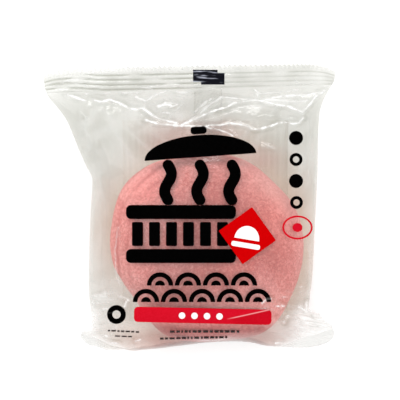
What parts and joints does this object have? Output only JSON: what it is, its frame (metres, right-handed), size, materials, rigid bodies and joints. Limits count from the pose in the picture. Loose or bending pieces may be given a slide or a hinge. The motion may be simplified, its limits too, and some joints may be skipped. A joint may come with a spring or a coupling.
{
  "type": "packaged manju",
  "caption": "Round steamed bun sealed in a clear pillow pack with crimped end seals and a printed front, lying on its back.",
  "frame": {"origin": "middle of the pack's outline, on the surface that it rests on", "axes": "+Z out of the printed front, +Y towards the upper end seal, +X across the pack to the right as printed"},
  "size_m": [0.1126, 0.1115, 0.0342],
  "materials": {
    "film": "clear glossy film over a pink bun",
    "bun": "soft matt steamed dough",
    "print_black": "glossy black ink",
    "print_red": "glossy red ink",
    "print_white": "glossy white ink"
  },
  "bodies": {
    "root": {"sealed_pack": "film"}
  },
  "joints": []
}
